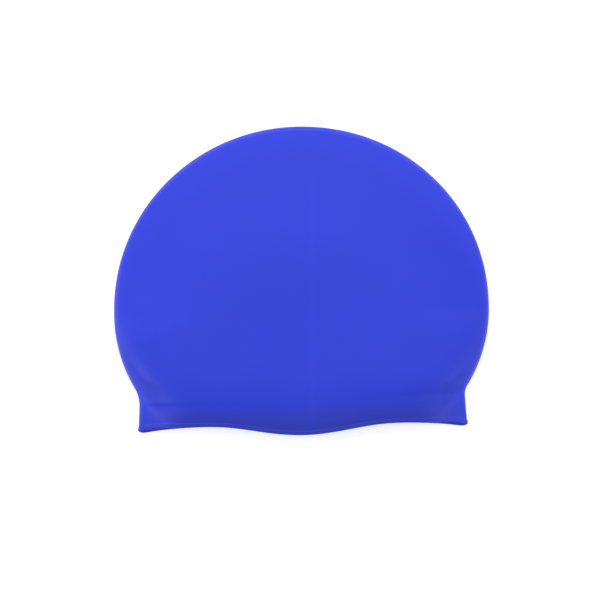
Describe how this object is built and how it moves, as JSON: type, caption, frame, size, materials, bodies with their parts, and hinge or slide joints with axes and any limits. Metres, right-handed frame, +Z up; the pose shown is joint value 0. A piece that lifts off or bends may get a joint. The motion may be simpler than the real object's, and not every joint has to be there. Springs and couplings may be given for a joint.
{
  "type": "swim cap",
  "caption": "Moulded silicone swim cap lying flat on its side: a softly puffed round crown over a flared band, with a hem that dips to cover the ears and a rolled lip.",
  "frame": {"origin": "middle of the cap's footprint, on the table that it lies on", "axes": "+X along the mouth from one fold to the other, +Y from the mouth to the crown's top, +Z up from the table"},
  "size_m": [0.225, 0.185, 0.0169],
  "materials": {
    "blue_silicone": "satin matte, one colour right through"
  },
  "bodies": {
    "root": {"cap_shell": "blue_silicone"}
  },
  "joints": []
}
